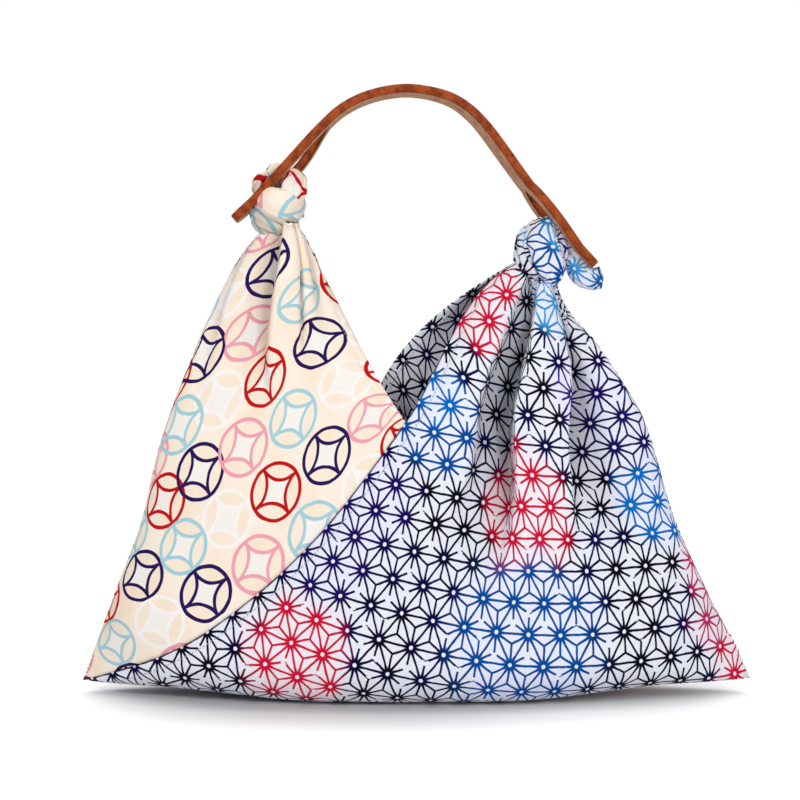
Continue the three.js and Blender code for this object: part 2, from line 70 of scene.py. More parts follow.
# The two horns: how far the side line leans, the middle and the radius of the neck, how much cloth there is past the
# neck on the side line and on the hems, how the cloth flares out below the neck on each, and where the hems are moved.
HORNS = {
    "left": dict(
        side=-1, lean=0.335, neck=(-69.0, 0.0, 251.0), radius=10.0,
        side_tail=112.0, hem_tail=138.0, side_flare=1.3, hem_flare=0.6, hem_shift=(-3.5, 0.0, 0.0),
    ),
    "right": dict(
        side=1, lean=0.395, neck=(68.5, 0.0, 221.0), radius=8.0,
        side_tail=132.0, hem_tail=151.0, side_flare=0.2, hem_flare=1.8, hem_shift=(-4.5, 0.0, 13.0),
    ),
}

# The folds of each horn, round its fan from the front hem (-45 degrees) to the back hem (45 degrees): the angle, how
# far the cloth stands out there in millimetres (or sinks in), how far it leans to the left, and how far from the
# horn's tip the fold reaches.
FOLDS = {
    "left": [
        (-45, 0, 0, 180), (-42.5, 3.5, 0, 190), (-40, 3, 0, 190), (-38.6, -9.5, 0, 205), (-36.5, -6.5, 0, 205),
        (-34.5, 5, 1, 190), (-32.5, 4.5, 0.5, 190), (-31, -9, 0, 212), (-30.2, 6, 0, 200), (-26.5, 8, 0, 205),
        (-23.3, 8, -2.5, 210), (-21.6, -11, 0.5, 215), (-17, -8, 0, 205), (-11, 0, 0, 200), (-8, 2, 0, 200),
        (-4, -2, 0, 210), (2, 2, 0, 240), (8, -7, 0, 290), (14, 5, 0, 330), (21, -8, 0, 350),
        (28, 6, 0, 350), (35, -7, 0, 340), (41, 3, 0, 300), (45, 0, 0, 300),
    ],
    "right": [
        (-45, 0, 0, 300), (-42, 4.5, 0, 300), (-38, 5, 0, 290), (-35.5, 4, 1.5, 290), (-33.3, -10, 0, 325),
        (-27.3, -17, 0, 325), (-26.2, 5, -5, 305), (-24, 8.5, -2.5, 295), (-20.5, 7.5, 1, 280),
        (-18.1, 5, 4.5, 280), (-17.2, -14, 0.5, 285), (-12, -11, 0, 300), (-6, -1, 0, 290), (0, 1, 0, 300),
        (5, -4, 0, 300), (11, 4.5, 0, 320), (18, -8, 0, 330), (25, 5, 0, 330), (32, -8, 0, 320),
        (39, 4, 0, 290), (45, 0, 0, 280),
    ],
}
FOLD_FADE = {"left": 80.0, "right": 105.0}  # the stretch over which a fold dies away
GATHERS = dict(every=5.1, deep=0.9, reach=45.0)  # the small pleats next to a neck: degrees, millimetres, millimetres
FAN_TURN = 3.8  # how many times its own angle the fan is turned round the neck
PAST_NECK = 0.35  # how fast the cloth goes on upwards past the neck


def smooth(low, high, value):
    t = np.clip((value - low) / (high - low), 0, 1)
    return t * t * (3 - 2 * t)


def lerp(a, b, t):
    return a + (b - a) * t


def unit(v):
    return v / np.maximum(np.linalg.norm(v, axis=-1, keepdims=True), 1e-9)


# ---- The shape in which the sewn strip hangs


def side_bulge(name, height):
    amount, middle, below, above = SIDE_BULGE[name]
    off = height - middle
    return amount * np.cos(math.pi / 2 * np.clip(off / np.where(off < 0, below, above), -1, 1)) ** 2


def pouch_point(across, up, front):
    """A point of the pouch below the horns, by its place on the flat folded bag: across from the left corner, up from
    the base line."""
    off = 2 * across / DIAGONAL - 1
    rounded = lerp(OUTLINE["ground"], OUTLINE["high"], smooth(0, OUTLINE["by"], up))
    half = np.where(front, DEPTH["front"], DEPTH["back"]) * np.maximum(0, 1 - off**2) ** rounded
    flat = BASE_SHARE * half
    radius = np.maximum(half - flat, 1e-6)
    rest = up - flat - radius * math.pi / 2
    angle = np.clip((up - flat) / radius, 0, math.pi / 2)
    lean = rest * BULGE_LEAN * half / DEPTH["front"]
    rest = np.where(rest > 0, np.sqrt(np.maximum(0, rest**2 - lean**2)), rest)
    depth = np.where(up < flat, up, np.where(rest > 0, half - lean, flat + radius * np.sin(angle)))
    height = np.where(up < flat, 0, np.where(rest > 0, radius + rest, radius * (1 - np.cos(angle))))
    left = -BASE_HALF + HORNS["left"]["lean"] * height - side_bulge("left", height)
    right = BASE_HALF - HORNS["right"]["lean"] * height + side_bulge("right", height)
    pull = np.where(front, 0, (up / (DIAGONAL / 2)) ** 2 * (1 - off**2))
    end = np.where(off < 0, ENDS_LIFT["left"], ENDS_LIFT["right"])
    end = end * smooth(ENDS_LIFT["start"], ENDS_LIFT["end"], np.abs(off))
    lift = (end + ENDS_LIFT["corner"] * np.abs(off) ** 10) * (1 - smooth(*ENDS_LIFT["fade"], height)) + SHEET_LIFT
    x = lerp(left, right, across / DIAGONAL) + BACK_PULL[0] * pull
    x = x + RIGHT_TOE["out"] * np.clip(off, 0, 1) ** 4 * (1 - smooth(*RIGHT_TOE["fade"], height))
    y = np.where(front, -depth, depth)
    z = height * (1 - END_DROP * off**2) + BACK_PULL[1] * pull + lift
    return np.stack([x, y, z], -1)


def pouch_from_tip(horn, distance, angle):
    """The same, by the distance from the tip of a horn and the angle from its side line."""
    sideways = distance * np.sin(np.abs(angle))
    across = sideways if horn["side"] < 0 else DIAGONAL - sideways
    up = np.maximum(0, DIAGONAL - distance * np.cos(angle))
    return pouch_point(np.clip(across, 0, DIAGONAL), up, angle < 0)


def hem_share(angle):
    """0 on the side line and 1 on the hems."""
    return (np.abs(angle) / (math.pi / 4)) ** 2


def tail_at(horn, angle):
    """How much cloth there is from the tip to the neck."""
    return lerp(horn["side_tail"], horn["hem_tail"], hem_share(angle))


def horn_point(horn, distance, angle):
    """A point of a horn, on a curve from the belt, level with the bottom of the mouth, to the ring at the neck."""
    belt_distance = DIAGONAL / 2 / np.cos(angle)
    span = (belt_distance - tail_at(horn, angle))[..., None]
    belt = pouch_from_tip(horn, belt_distance, angle)
    belt_slope = (belt - pouch_from_tip(horn, belt_distance + 1, angle)) * span
    turn = FAN_TURN * angle
    outward = np.stack([horn["side"] * np.cos(turn), np.sin(turn), np.zeros_like(turn)], -1)
    up = np.array([0.0, 0.0, 1.0])
    ring = np.array(horn["neck"]) + outward * horn["radius"]
    ring = ring + np.array(horn["hem_shift"]) * smooth(0.3, 1, hem_share(angle))[..., None]
    flare = lerp(horn["side_flare"], horn["hem_flare"], hem_share(angle))[..., None]
    neck_slope = unit(up - outward * flare) * span
    t = (belt_distance - distance)[..., None] / span
    past = ring + up * ((t - 1) * span * PAST_NECK)
    t = np.minimum(t, 1)
    curve = (
        belt * (2 * t**3 - 3 * t**2 + 1) + belt_slope * (t**3 - 2 * t**2 + t)
        + ring * (3 * t**2 - 2 * t**3) + neck_slope * (t**3 - t**2)
    )
    return np.where((belt_distance - distance)[..., None] > span, past, curve)


def smooth_point(name, distance, angle):
    horn = HORNS[name]
    in_horn = (distance * np.cos(angle) < DIAGONAL / 2)[..., None]
    return np.where(in_horn, horn_point(horn, distance, angle), pouch_from_tip(horn, distance, angle))


def fan_of(along, over):
    """Which horn's fan a point of the strip is in, its distance from the tip and its angle from the side line."""
    left = (along <= WIDTH) | (along - WIDTH < over)
    run = np.where(left, along, 3 * WIDTH - along)
    rise = np.where(left, WIDTH - over, over)
    angle = np.where(left, np.arctan2(run, rise), np.arctan2(rise, run)) - math.pi / 4
    return left, np.hypot(run, rise), angle


def folds(name, distance, angle):
    """How far the cloth stands out of the smooth shape, how far it leans, and how deep in a fold it lies."""
    rows = np.array(FOLDS[name], float)
    horn = HORNS[name]
    degrees = np.degrees(angle)
    # The folds wander by a degree or so on their way down.
    bend = 1.1 * np.sin(distance * 0.031 + 1.7) + 0.6 * np.sin(distance * 0.073 + degrees * 0.05)
    at = np.clip(degrees + bend * smooth(45, 38, np.abs(degrees)), -45, 45)
    i = np.clip(np.searchsorted(rows[:, 0], at), 1, len(rows) - 1)
    t = smooth(rows[i - 1, 0], rows[i, 0], at)
    past = distance - tail_at(horn, angle)
    room = lerp(0.4, 1, smooth(0, 58, past))
    reach = [1 - smooth(rows[k, 3] - FOLD_FADE[name], rows[k, 3], distance) for k in (i - 1, i)]
    deep, lean = (lerp(rows[i - 1, k] * reach[0], rows[i, k] * reach[1], t) for k in (1, 2))
    near = 1 - smooth(0, GATHERS["reach"], past)
    wander = 1.3 * np.sin(degrees * 0.31 + 1.0) + 0.8 * np.sin(degrees * 0.83)
    small = GATHERS["deep"] * lerp(0.35, 1, smooth(4, 13, np.abs(degrees)))
    gathers = small * near**1.3 * np.sin(2 * math.pi * (degrees + wander) / GATHERS["every"])
    return deep * room + gathers, lean * room, deep


def hang(along, over):
    """Where points of the strip's hung shape lie, folds and all, and how deep in a fold they are."""
    left, distance, angle = fan_of(along, over)
    found = []
    for name in ("left", "right"):
        there = smooth_point(name, distance, angle)
        before, after = (
            smooth_point(name, distance, np.clip(angle + by, -math.pi / 4, math.pi / 4)) for by in (-0.004, 0.004)
        )
        across = unit(after - before)
        down = smooth_point(name, distance + 0.5, angle) - smooth_point(name, distance - 0.5, angle)
        outward = unit(np.cross(across, down)) * (1 if name == "left" else -1)
        height, lean, deep = folds(name, distance, angle)
        up = DIAGONAL - distance * np.cos(angle)
        low = smooth(10, 80, up)
        seam = np.minimum(np.minimum(over, WIDTH - over), np.where(left, along, 3 * WIDTH - along))
        share = low * smooth(-1, 16, seam)
        there = there + outward * (height * share)[..., None] + across * (lean * share)[..., None]
        found.append(np.concatenate([there, (deep * share)[..., None]], -1))
    found = np.where(left[..., None], *found)
    return found[..., :3], found[..., 3]


# ---- Letting the cloth slide


def grid(count):
    """The strip's points, count to a width."""
    return np.meshgrid(np.linspace(0, 3 * WIDTH, 3 * count + 1), np.linspace(0, WIDTH, count + 1), indexing="ij")


def on_strip(place):
    return np.clip(place, 0, (3 * WIDTH, WIDTH))


def in_knot(along, over, extra):
    """Whether points are past the necks, or less than some way before them."""
    left, distance, angle = fan_of(along, over)
    tail = np.where(left, *(tail_at(horn, angle) for horn in HORNS.values()))
    return distance < tail + extra


def grid_normals(p):
    return unit(np.cross(np.gradient(p, axis=0), np.gradient(p, axis=1)))


def refine(values):
    """Values on a grid, with a point halfway between each two, on smooth curves through them."""
    for axis in (0, 1):
        v = np.moveaxis(values, axis, 0)
        far = np.concatenate([2 * v[:1] - v[1:2], v, 2 * v[-1:] - v[-2:-1]])
        between = (9 * (far[1:-2] + far[2:-1]) - far[:-3] - far[3:]) / 16
        out = np.empty((2 * len(v) - 1,) + v.shape[1:])
        out[::2], out[1::2] = v, between
        values = np.moveaxis(out, 0, axis)
    return values


def sample(field, place, every):
    """A field on a grid, between its points."""
    x = np.clip(place[..., 0] / every, 0, field.shape[0] - 1.001)
    y = np.clip(place[..., 1] / every, 0, field.shape[1] - 1.001)
    i, j = x.astype(int), y.astype(int)
    u, v = (x - i)[..., None], (y - j)[..., None]
    return lerp(lerp(field[i, j], field[i + 1, j], u), lerp(field[i, j + 1], field[i + 1, j + 1], u), v)


def blur(field, times):
    for _ in range(times):
        for axis in (0, 1):
            v = np.moveaxis(field, axis, 0)
            far = np.concatenate([v[:1], v, v[-1:]])
            field = np.moveaxis((far[:-2] + 2 * v + far[2:]) / 4, 0, axis)
    return field


# ties are to which neighbours, and how stiff. drag holds points back, and pace is how much of each move is made.
# There are no ties from neck on. Where cloth is gathered they soften between these shares of their own length.
# evened is how much the moves are evened out, in the knots and elsewhere.
SLIDE = dict(
    ties=[(1, 0, 1.0), (0, 1, 1.0), (1, 1, 0.4), (1, -1, 0.4)], drag=0.02, pace=1.3, neck=4.0, gathered=(0.8, 0.45),
    evened=(0.5, 0.03),
)


def slide(place, metric, every, turns):
    """Moves the cloth's points over the hung shape until each thread has its own length again. place holds, for each
    point of the cloth, where on the strip's hung shape it lies."""
    count = place.shape[1] - 1
    rest = WIDTH / count
    start = np.stack(grid(count), -1)
    for _ in range(turns):
        move, weight = np.zeros_like(place), np.full(place.shape[:2] + (1,), SLIDE["drag"])
        loose = in_knot(place[..., 0], place[..., 1], SLIDE["neck"])[..., None]
        for di, dj, stiff in SLIDE["ties"]:
            own = rest * math.hypot(di, dj)
            n, m = place.shape[0] - di, place.shape[1] - abs(dj)
            a = (slice(0, n), slice(0, m) if dj >= 0 else slice(-dj, None))
            b = (slice(di, None), slice(dj, None) if dj >= 0 else slice(0, m))
            gap = place[b] - place[a]
            x, y = gap[..., 0], gap[..., 1]
            g = sample(metric, (place[a] + place[b]) / 2, every)
            square = g[..., 0] * x**2 + 2 * g[..., 1] * x * y + g[..., 2] * y**2
            length = np.sqrt(np.maximum(1e-6, square))[..., None]
            k = stiff * np.where(loose[a] | loose[b], 0.0, 1.0)
            share = length / own
            k = k * np.where(share < 1, lerp(g[..., 3:4], 1.0, smooth(*SLIDE["gathered"], share)), 1.0)
            push = gap * (k * 0.5 * (length - own) / length)
            move[a] += push
            move[b] -= push
            weight[a] += k
            weight[b] += k
        shift = place + SLIDE["pace"] * move / weight - start
        shift = lerp(shift, blur(shift, 1), np.where(loose, *SLIDE["evened"]))
        place = start + shift
        place[0, :, 0], place[-1, :, 0] = 0, 3 * WIDTH
        place[:, 0, 1], place[:, -1, 1] = 0, WIDTH
        # The two halves of each sewn edge stay level with each other.
        for edge, middle in ((0, 1), (-1, 2)):
            at = middle * count
            low, high = place[at - count:at + 1, edge, 0][::-1], place[at:at + count + 1, edge, 0]
            run = (high - low) / 2
            run[0], run[-1] = 0, WIDTH
            low[:], high[:] = middle * WIDTH - run, middle * WIDTH + run
        place[0, -1], place[-1, 0] = (0, WIDTH), (3 * WIDTH, 0)
        place = on_strip(place)
    return place


FINE = 128  # the finest grid's cells to a width of the strip
CELL = WIDTH / FINE
fine_along, fine_over = grid(FINE)
hung, _ = hang(fine_along, fine_over)
along_slope, over_slope = np.gradient(hung, CELL, axis=0), np.gradient(hung, CELL, axis=1)
# The cloth's spare width goes to the back, where it may be squeezed into gathers.
squeezed = lerp(0.12, 1.0, smooth(15, 2, hung[..., 1]))
slopes = ((along_slope, along_slope), (along_slope, over_slope), (over_slope, over_slope))
metric = np.stack([*((a * b).sum(-1) for a, b in slopes), squeezed], -1)
place = np.stack(grid(8), -1)
for turns, blurred in ((300, 8), (200, 8), (200, 8), (60, 2)):
    place = refine(slide(place, blur(metric, blurred), CELL, turns))
place = on_strip(slide(place, metric, CELL, 60))
# depth says how deep in a fold the cloth lies; it becomes the shade attribute, painted shade in the cloth's colour.
cloth, depth = hang(place[..., 0], place[..., 1])
cloth[..., 2] = np.maximum(cloth[..., 2], SHEET_LIFT)

# ---- Node helpers


def rgb(r, g, b):
    """A colour as it is seen, in 0 to 255, as Blender's linear colour."""
    seen = (r / 255, g / 255, b / 255)
    return (*(c / 12.92 if c <= 0.04045 else ((c + 0.055) / 1.055) ** 2.4 for c in seen), 1.0)


def sum_of(operation, swapped=False):
    """A method that joins two values with a math node."""
    def method(self, other):
        return self.nodes.math(operation, *((other, self) if swapped else (self, other)))
    return method


class Value:
    """A number that nodes work out. Sums and comparisons of values add the nodes that they need."""

    __add__, __radd__ = sum_of("ADD"), sum_of("ADD", True)
    __sub__, __rsub__ = sum_of("SUBTRACT"), sum_of("SUBTRACT", True)
    __mul__, __truediv__ = sum_of("MULTIPLY"), sum_of("DIVIDE")
    __lt__, __gt__ = sum_of("LESS_THAN"), sum_of("GREATER_THAN")

    def __init__(self, nodes, socket):
        self.nodes, self.socket = nodes, socket

    def __abs__(self):
        return self.nodes.math("ABSOLUTE", self)


class Nodes:
    """Short names for making the nodes of a material or a world. What goes into a node is a number, a colour, a Value
    or another node's output."""

    def __init__(self, holder):
        self.holder = holder
        self.holder.use_nodes = True
        self.tree = self.holder.node_tree
        self.tree.nodes.clear()

    def put(self, socket, value):
        if isinstance(value, Value):
            value = value.socket
        if isinstance(value, bpy.types.NodeSocket):
            self.tree.links.new(value, socket)
        else:
            socket.default_value = value

    def add(self, kind, inputs=(), output=0, **settings):
        """Adds a shader node and gives one of its outputs."""
        node = self.tree.nodes.new("ShaderNode" + kind)
        for key, value in settings.items():
            setattr(node, key, value)
        for key, value in dict(inputs).items():
            self.put(node.inputs[key], value)
        return node.outputs[output] if node.outputs else None

    def value(self, kind, inputs=(), output=0, **settings):
        return Value(self, self.add(kind, inputs, output, **settings))

    def math(self, operation, *values):
        return self.value("Math", enumerate(values), operation=operation)

    def same(self, value, number):
        return self.math("COMPARE", value, float(number), 0.5)

    def length(self, x, y):
        return self.math("SQRT", x * x + y * y)

    def step(self, low, high, value, out=(0.0, 1.0)):
        return self.value("MapRange", enumerate((value, low, high, *out)), interpolation_type="SMOOTHSTEP")

    def noise(self, vector, scale, detail=2.0):
        return self.value("TexNoise", {"Vector": vector, "Scale": scale, "Detail": detail}, "Fac")

    def vector(self, operation, *values):
        return self.add("VectorMath", enumerate(values), operation=operation)

    def split(self, vector):
        x = self.add("SeparateXYZ", {0: vector})
        return [Value(self, socket) for socket in x.node.outputs[:2]]

    def wander(self, place, scale, detail, amount):
        """A place moved about by up to half an amount, as soft noise says."""
        shift = self.add("TexNoise", {"Vector": place, "Scale": scale, "Detail": detail}, "Color")
        shift = self.vector("MULTIPLY", self.vector("SUBTRACT", shift, (0.5, 0.5, 0.5)), (amount, amount, 0.0))
        return self.vector("ADD", place, shift)

    def chance(self, x, y, z):
        """A number from 0 to 1 that is as good as random, from three others."""
        cell = self.add("CombineXYZ", {0: x, 1: y, 2: z})
        return self.value("TexWhiteNoise", {"Vector": cell}, "Value", noise_dimensions="3D")

    def mix(self, share, a, b, blend="MIX"):
        return self.add("Mix", {0: share, 6: a, 7: b}, 2, data_type="RGBA", blend_type=blend)

    def surface(self, colour, rough, tall, strength, **more):
        """A principled shader with a bump. tall is in millimetres."""
        bump = self.add("Bump", {"Strength": strength, "Distance": 0.001, "Height": tall})
        more = {key.replace("_", " "): value for key, value in more.items()}
        return self.add("BsdfPrincipled", {"Base Color": colour, "Roughness": rough, "Normal": bump, **more})

    def finish(self, shader):
        kind = "World" if isinstance(self.holder, bpy.types.World) else "Material"
        self.add("Output" + kind, {0: shader})
        return self.holder


def new_material(name):
    return Nodes(bpy.data.materials.new(name))


THREAD = 0.52  # from one thread of the cotton to the next but one
# fold is where the hem ends, and stitch where its stitches are. thread and dash are half a stitch across and along.
HEM = dict(fold=(7.2, 6.4), stitch=5.6, thread=(0.45, 0.2), pitch=2.6, dash=(0.25, 0.35), tall=0.25)


def cotton(n, uv, colour, height):
    """Plain weave cotton of a given colour: threads, slubs, soft creases, a faint sheen and painted shade in its
    folds.
    """
    x, y = n.split(uv)
    weave = n.math("SINE", x * (2 * math.pi / THREAD)) * n.math("SINE", y * (2 * math.pi / THREAD)) * 0.5 + 0.5
    slub = n.noise(n.vector("MULTIPLY", uv, (0.25, 2.2, 1.0)), 0.8, 3.0)
    creases = n.noise(uv, 0.11, 3.0)
    # Painted shade: the insides of the folds are darkened and their ridges made paler, by how deep in a fold the cloth
    # lies.
    depth = n.value("Attribute", (), "Fac", attribute_name="shade")
    shade = (0.93 + (weave + slub) * 0.05) * n.step(-17.0, 2.0, depth, (0.50, 1.02))
    colour = n.mix(1.0, colour, n.add("CombineColor", {0: shade, 1: shade, 2: shade}), "MULTIPLY")
    tall = weave * 0.045 + slub * 0.05 + creases * 0.9
    if height is not None:
        tall = tall + height
    return n.surface(colour, 0.85, tall, 0.7, Sheen_Weight=0.02, Sheen_Roughness=0.5, Specular_IOR_Level=0.04)


def hems(n, uv, box, colour, thread, shown, sunk):
    """Adds the folded hem of a panel and its line of stitches. box is the panel in cloth space. Gives the colour and
    the height."""
    if not box:
        return colour, None
    x, y = n.split(uv)
    (x0, y0), (x1, y1) = box
    inside = n.math("MINIMUM", x - x0, x1 - x)
    inside = n.math("MINIMUM", inside, n.math("MINIMUM", y - y0, y1 - y))
    line = n.step(*HEM["thread"], abs(inside - HEM["stitch"]))
    dash = n.step(*HEM["dash"], abs(n.math("FRACT", (x + y) / HEM["pitch"]) - 0.5), (1.0, 0.0))
    stitch = line * dash
    height = n.step(*HEM["fold"], inside) * HEM["tall"] - stitch * sunk
    return n.mix(stitch * shown, colour, thread), height


# ---- The asanoha print

STAR = 18.4  # from one hemp leaf star's centre to the next
LINE = dict(out=6.0, middle=1.6, half=(0.62, 0.92), soft=0.22)  # half a line's width, far out and at a star's middle
BLOB, DOT = (2.5, 2.0), (1.25, 0.95)  # radii of a star's inked middle and of the bare dot in it, soft edges and all
SHORT_RAYS = dict(cells=0.45, rays=0.75, by=(1.9, 1.5), lift=5.0)  # how many of the rays stop short, and by how much
RED, PINK, PURPLE, INDIGO = rgb(202, 16, 56), rgb(186, 40, 98), rgb(54, 22, 120), rgb(24, 10, 88)
BLUE, BRIGHT, SKY = rgb(0, 74, 150), rgb(0, 104, 188), rgb(58, 152, 214)
# Soft patches where the ink changes colour: the middle on the cloth, the radius, the ink.
PATCHES = [
    (452, 6, 32, INDIGO), (492, 10, 30, INDIGO), (640, 150, 36, INDIGO), (402, 37, 31, RED), (549, 95, 35, RED),
    (616, 9, 20, RED), (636, 10, 16, RED), (604, 199, 10, PINK), (579, 213, 18, PINK), (555, 231, 20, PINK),
    (540, 254, 20, RED), (494, 126, 46, BLUE), (549, 16, 30, BLUE), (561, 10, 16, BRIGHT), (598, 174, 26, BRIGHT),
    (662, 62, 18, SKY), (629, 100, 20, PURPLE),
    (330, 120, 34, BLUE), (300, 205, 32, RED), (405, 185, 38, BLUE), (470, 225, 30, RED), (655, 228, 32, RED),
    (700, 190, 34, BLUE), (748, 125, 28, SKY), (715, 90, 22, BLUE),
]
KNOT_PATCHES = [
    (10, 12, 22, BLUE), (30, 30, 20, SKY), (50, 85, 30, BLUE), (30, 92, 22, SKY), (100, 60, 14, PURPLE),
    (70, 25, 14, BLUE),
]


def asanoha(name, patches, scale=1.0, box=None):
    """Hemp leaf stars: a grid of triangles with a star's middle in each corner, and in each triangle three rays from
    its corners to its middle. corners holds how near a point is to each corner, from 0 to 1."""
    n = new_material(name)
    uv = n.add("UVMap", uv_map="cloth")
    x, y = n.split(n.wander(n.vector("MULTIPLY", uv, (scale, scale, 1.0)), 0.16, 2.0, 0.9))
    tall = STAR * math.sqrt(3) / 2
    b = y / tall
    a = x / STAR - b * 0.5
    in_a, in_b = n.math("FRACT", a), n.math("FRACT", b)
    total = in_a + in_b
    upper = total > 1.0
    corners = [abs(total - 1.0), abs(upper - in_a), abs(upper - in_b)]
    least = n.math("MINIMUM", corners[0], n.math("MINIMUM", *corners[1:]))
    most = n.math("MAXIMUM", corners[0], n.math("MAXIMUM", *corners[1:]))
    mid = 1.0 - least - most
    edge, ray = least * tall, (mid - least) * (STAR / 2)
    radius = n.math("SQRT", mid * mid + least * least + mid * least) * STAR
    # Some of the rays stop short of the point where three meet.
    chance = n.chance(n.math("FLOOR", a), n.math("FLOOR", b), upper)
    chance_ray = n.chance(corners[1] > corners[0], corners[2] > corners[1], chance)
    meet = STAR * 0.5774  # from a star's middle to where three rays meet
    gap = n.step(meet - SHORT_RAYS["by"][0], meet - SHORT_RAYS["by"][1], radius)
    gap = (chance < SHORT_RAYS["cells"]) * (chance_ray < SHORT_RAYS["rays"]) * gap
    line = n.math("MINIMUM", edge, ray + gap * SHORT_RAYS["lift"])
    half = n.step(LINE["out"], LINE["middle"], radius, LINE["half"])
    inked = n.math("MAXIMUM", n.step(LINE["soft"], -LINE["soft"], line - half), n.step(*BLOB, radius))
    inked = inked * (1.0 - n.step(*DOT, radius))

    ink = n.mix(n.step(0.4, 0.65, n.noise(uv, 0.03)), rgb(2, 2, 18), rgb(12, 6, 66))
    ground = rgb(233, 235, 245)
    place = n.wander(uv, 0.035, 2.0, 26.0)
    for x, y, size, colour in patches:
        away = n.value("VectorMath", {0: place, 1: (x, y, 0.0)}, "Value", operation="DISTANCE")
        near = n.step(size * 1.12, size * 0.72, away)
        ink = n.mix(near, ink, colour)
        pale = tuple(0.75 + 0.25 * c / max(colour[:3]) for c in colour[:3]) + (1.0,)
        ground = n.mix(near * 0.3, ground, pale)
    ground = n.mix(n.step(0.35, 0.75, n.noise(uv, 1.4), (0.0, 0.10)), ground, rgb(190, 186, 205))
    colour, height = hems(n, uv, box, n.mix(inked, ground, ink), rgb(150, 150, 176), 0.7, 0.25)
    return n.finish(cotton(n, uv, colour, height))


# ---- The shippo print

# The chains of circles, side by side. Each runs across the strip's width. By the chain's number: where its row 0 is,
# from one circle's centre to the next, and how far it sways and leans. late_shift moves the first two chains above
# late, and before_shift moves those before the first. The circles are stretched along the strip.
CHAIN = dict(
    apart=35.6, first=18.7, sway=5.0, start=(23.8, 40.5), pitch=(29.2, 25.3), lean=0.3, most_at=1.2, none_at=2.8,
    middle=60.0, late=130.0, late_shift=(21.0, 5.5), before_shift=8.0, stretch=0.75,
)
# radius is a share of the pitch and what comes on top. line and arc are where the ink ends and where it is full.
RING = dict(radius=(0.2, 7.05), line=(1.0, 0.78), arc=(0.92, 0.7), soft=0.2, star=(0.3, 0.8))
RING_INKS = [rgb(36, 14, 84), rgb(248, 245, 244), rgb(238, 162, 174), rgb(192, 8, 16), rgb(164, 206, 216)]
NAVY, WHITE = 0, 1


def shippo(name, offset=(0.0, 0.0), scale=1.0, box=None):
    """Chains of circles, each with four arcs inside that meet on its ring. The five inks follow each other down a
    chain, and move on by two from one chain to the next. Where circles overlap, a white one is the lower."""
    n = new_material(name)
    uv = n.vector("MULTIPLY", n.add("UVMap", uv_map="cloth"), (scale, scale, 1.0))
    u, v = n.split(n.vector("ADD", n.wander(uv, 0.12, 1.0, 1.0), (*offset, 0.0)))

    def chain(number, level):
        """How far along the strip a chain is from its own place, at some way over the strip."""
        sway = n.math("SINE", number * 0.95 + 0.1) * CHAIN["sway"]
        lean = n.math("MAXIMUM", 1.0 - abs(number - CHAIN["most_at"]) / CHAIN["none_at"], 0.0) * CHAIN["lean"]
        late = [n.same(number, k) * shift for k, shift in enumerate(CHAIN["late_shift"])]
        late = (late[0] + late[1]) * (level > CHAIN["late"])
        return sway + lean * (level - CHAIN["middle"]) + ((number < -0.5) * CHAIN["before_shift"] + late)

    def circle(column):
        """The circle of a chain that is nearest: its lines, its star, its petals and which ink it has."""
        start, pitch = n.step(0.0, 4.0, column, CHAIN["start"]), n.step(2.0, 4.0, column, CHAIN["pitch"])
        row = n.math("ROUND", (v - start) / pitch)
        level = start + row * pitch
        x = abs((rough - column) * CHAIN["apart"] - chain(column, level)) * CHAIN["stretch"]
        y = abs(v - level)
        r = pitch * RING["radius"][0] + RING["radius"][1]
        beyond, inset = n.length(x, y) - r, n.length(x - r, y - r) - r
        within = n.step(RING["soft"], -RING["soft"], beyond)
        star = within * n.step(*RING["star"], inset)
        petal = within * n.step(-RING["star"][0], -RING["star"][1], inset)
        lines = n.math("MAXIMUM", n.step(*RING["line"], abs(beyond)), n.step(*RING["arc"], abs(inset)) * within)
        # The 5002 keeps the number positive. From chain 5 on the inks are three farther on, below chain 0 they are
        # white and red by turns, and one circle of chain 0 is navy out of turn.
        index = n.math("MODULO", 5002.0 - column * 2.0 - row + (column > 4.5) * 3.0, 5.0)
        index = index + (column < -0.5) * (1.0 + n.math("FLOORED_MODULO", row, 2.0) * 2.0 - index)
        index = index * (1.0 - n.same(column, 0) * n.same(row, 4))
        return lines * (1.0 - n.same(index, WHITE) * 0.2), star, petal, index

    rough = (u - CHAIN["first"]) / CHAIN["apart"]
    low = n.math("FLOOR", rough)
    inked, star, petal, index = circle(low)
    for step in (-1.0, 1.0):
        other = circle(low + step)
        index = index + (other[0] > inked) * (other[3] - index)
        inked, star, petal = (n.math("MAXIMUM", a, b) for a, b in zip((inked, star, petal), other))
    ink = RING_INKS[NAVY]
    for k in range(1, len(RING_INKS)):
        ink = n.mix(n.same(index, k), ink, RING_INKS[k])
    ground = n.mix(n.step(0.4, 0.7, n.noise(uv, 0.045)), rgb(250, 236, 220), rgb(249, 228, 206))
    ground = n.mix(star * 0.8, ground, rgb(244, 240, 236))
    ground = n.mix(petal * 0.35, ground, rgb(244, 226, 200))
    colour, height = hems(n, uv, box, n.mix(inked * 0.995, ground, ink), rgb(220, 208, 192), 0.35, 0.2)
    return n.finish(cotton(n, uv, colour, height))


# ---- The cloth panels


def new_object(name, data):
    made = bpy.data.objects.new(name, data)
    bpy.context.scene.collection.objects.link(made)
    return made


